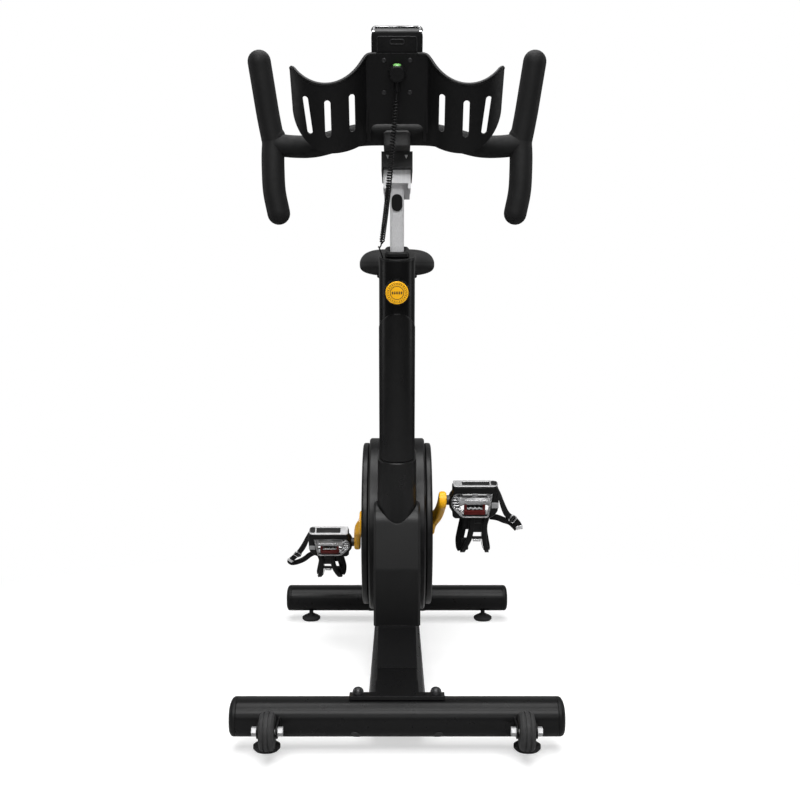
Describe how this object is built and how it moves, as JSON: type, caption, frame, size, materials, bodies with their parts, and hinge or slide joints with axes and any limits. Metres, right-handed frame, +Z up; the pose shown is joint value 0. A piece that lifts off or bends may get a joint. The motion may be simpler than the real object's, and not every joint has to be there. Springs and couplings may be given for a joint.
{
  "type": "exercise bike",
  "caption": "Indoor cycling bike with a V-shaped frame, belt-driven enclosed flywheel, adjustable saddle and handlebar, winged tray, console and toe-clip pedals.",
  "frame": {"origin": "on the floor, under the middle of the bounding box", "axes": "+Z up, -Y to the front of the bike (the handlebar end), +X to the right of a viewer who faces the front"},
  "size_m": [0.5398, 1.033, 1.1736],
  "materials": {
    "aluminium": "satin",
    "belt_rubber": "ribbed",
    "cast_iron": "machined",
    "cover_plastic": "satin",
    "crank_yellow": "satin",
    "dark_plastic": "matte",
    "frame_paint": "satin",
    "grip_coat": "matte",
    "rubber": "matte",
    "saddle_cover": "grained vinyl",
    "screen_glass": "gloss",
    "steel": "brushed",
    "webbing": "woven"
  },
  "bodies": {
    "frame": {"rear_stabiliser": "frame_paint", "front_stabiliser": "frame_paint", "stabiliser_end_caps": "dark_plastic", "base_beam": "frame_paint", "stabiliser_bolts": "steel", "wheel_bolts": "steel", "front_column": "frame_paint", "seat_tube": "frame_paint", "bearings": "steel", "shroud_left": "cover_plastic", "shroud_right": "cover_plastic", "disc_covers": "cover_plastic", "front_covers": "cover_plastic", "column_sleeve": "cover_plastic", "post_guides": "dark_plastic", "drive_belt": "belt_rubber", "brake_caliper": "dark_plastic", "console_lead": "rubber"},
    "wheel_left": {"transport_wheel_left": "rubber"},
    "wheel_right": {"transport_wheel_right": "rubber"},
    "foot_front_left": {"levelling_foot_front_left": "rubber"},
    "foot_front_right": {"levelling_foot_front_right": "rubber"},
    "foot_rear_left": {"levelling_foot_rear_left": "rubber"},
    "foot_rear_right": {"levelling_foot_rear_right": "rubber"},
    "crankset": {"crank_axle": "steel", "drive_pulley": "aluminium", "crank_arm_left": "crank_yellow", "crank_arm_right": "crank_yellow", "pedal_spindles": "steel"},
    "pedal_left": {"pedal_body_left": "aluminium", "pedal_frame_left": "dark_plastic", "toe_clip_left": "dark_plastic", "pedal_strap_left": "webbing"},
    "pedal_right": {"pedal_body_right": "aluminium", "pedal_frame_right": "dark_plastic", "toe_clip_right": "dark_plastic", "pedal_strap_right": "webbing"},
    "flywheel": {"flywheel": "cast_iron"},
    "handlebar_post": {"handlebar_post": "aluminium", "post_trim": "dark_plastic"},
    "handlebar": {"handlebar_carriage": "frame_paint", "handlebar_crossbar": "grip_coat", "handlebar_grip_left": "grip_coat", "handlebar_grip_right": "grip_coat", "accessory_tray": "dark_plastic", "console_case": "dark_plastic", "console_screen": "screen_glass", "lead_plug": "dark_plastic"},
    "button_left": {"console_button_left": "rubber"},
    "button_right": {"console_button_right": "rubber"},
    "height_knob": {"handlebar_height_knob": "dark_plastic", "handlebar_knob_cap": "crank_yellow"},
    "reach_lever": {"handlebar_reach_lever": "dark_plastic"},
    "resistance_knob": {"resistance_knob": "dark_plastic"},
    "seat_post": {"seat_post": "aluminium"},
    "saddle": {"saddle_carriage": "frame_paint", "saddle_base": "dark_plastic", "saddle_cushion": "saddle_cover"},
    "seat_knob": {"seat_height_knob": "dark_plastic"},
    "seat_lever": {"seat_reach_lever": "dark_plastic"}
  },
  "joints": [
    {"name": "flywheel_spin", "type": "hinge", "parent": "frame", "child": "flywheel", "pos_m": [0, 0.3415, 0.3], "axis": [1, 0, 0], "continuous": true},
    {"name": "crank_spin", "type": "hinge", "parent": "frame", "child": "crankset", "pos_m": [0, 0.0815, 0.2975], "axis": [1, 0, 0], "continuous": true},
    {"name": "pedal_left_spin", "type": "hinge", "parent": "crankset", "child": "pedal_left", "pos_m": [0, 0.23822, 0.23162], "axis": [1, 0, 0], "continuous": true},
    {"name": "pedal_right_spin", "type": "hinge", "parent": "crankset", "child": "pedal_right", "pos_m": [0, -0.07522, 0.36338], "axis": [1, 0, 0], "continuous": true},
    {"name": "handlebar_height", "type": "slide", "parent": "frame", "child": "handlebar_post", "axis": [0, -0.247, 0.969], "range_m": [-0.06, 0.12], "deforming": ["console_lead"]},
    {"name": "handlebar_reach", "type": "slide", "parent": "handlebar_post", "child": "handlebar", "axis": [0, 1, 0], "range_m": [-0.03, 0.04], "deforming": ["console_lead"]},
    {"name": "seat_height", "type": "slide", "parent": "frame", "child": "seat_post", "axis": [0, 0.2924, 0.9563], "range_m": [-0.03, 0.12]},
    {"name": "seat_reach", "type": "slide", "parent": "seat_post", "child": "saddle", "axis": [0, 1, 0], "range_m": [-0.04, 0.04]},
    {"name": "handlebar_height_knob_turn", "type": "hinge", "parent": "frame", "child": "height_knob", "pos_m": [0, -0.24554, 0.75721], "axis": [0, -0.969, -0.247], "range_deg": [0, 360]},
    {"name": "seat_height_knob_turn", "type": "hinge", "parent": "frame", "child": "seat_knob", "pos_m": [0, 0.22821, 0.63373], "axis": [0, 0.9563, -0.2924], "range_deg": [0, 360]},
    {"name": "handlebar_reach_lever_turn", "type": "hinge", "parent": "handlebar_post", "child": "reach_lever", "pos_m": [0, -0.18, 0.934], "axis": [0, 0, 1], "range_deg": [0, 90]},
    {"name": "seat_reach_lever_turn", "type": "hinge", "parent": "seat_post", "child": "seat_lever", "pos_m": [0, 0.325, 0.778], "axis": [0, 0, 1], "range_deg": [0, 90]},
    {"name": "resistance_turn", "type": "hinge", "parent": "frame", "child": "resistance_knob", "pos_m": [0, -0.12008, 0.69012], "axis": [0, 0.969, 0.247], "range_deg": [0, 330]},
    {"name": "console_button_left_press", "type": "slide", "parent": "handlebar", "child": "button_left", "axis": [0, -0.8572, -0.515], "range_m": [0, 0.001], "stiffness_N_per_m": 400, "springref_m": -0.0005},
    {"name": "console_button_right_press", "type": "slide", "parent": "handlebar", "child": "button_right", "axis": [0, -0.8572, -0.515], "range_m": [0, 0.001], "stiffness_N_per_m": 400, "springref_m": -0.0005},
    {"name": "transport_wheel_left_spin", "type": "hinge", "parent": "frame", "child": "wheel_left", "pos_m": [-0.202, -0.4865, 0.053], "axis": [1, 0, 0], "continuous": true},
    {"name": "transport_wheel_right_spin", "type": "hinge", "parent": "frame", "child": "wheel_right", "pos_m": [0.202, -0.4865, 0.053], "axis": [1, 0, 0], "continuous": true},
    {"name": "levelling_foot_front_left_turn", "type": "hinge", "parent": "frame", "child": "foot_front_left", "pos_m": [-0.211, -0.4185, 0.02], "axis": [0, 0, 1], "continuous": true},
    {"name": "levelling_foot_front_right_turn", "type": "hinge", "parent": "frame", "child": "foot_front_right", "pos_m": [0.211, -0.4185, 0.02], "axis": [0, 0, 1], "continuous": true},
    {"name": "levelling_foot_rear_left_turn", "type": "hinge", "parent": "frame", "child": "foot_rear_left", "pos_m": [-0.211, 0.4815, 0.02], "axis": [0, 0, 1], "continuous": true},
    {"name": "levelling_foot_rear_right_turn", "type": "hinge", "parent": "frame", "child": "foot_rear_right", "pos_m": [0.211, 0.4815, 0.02], "axis": [0, 0, 1], "continuous": true}
  ],
  "couplings": [
    {"joint": "crank_spin", "follows": "flywheel_spin", "ratio": 0.25}
  ]
}
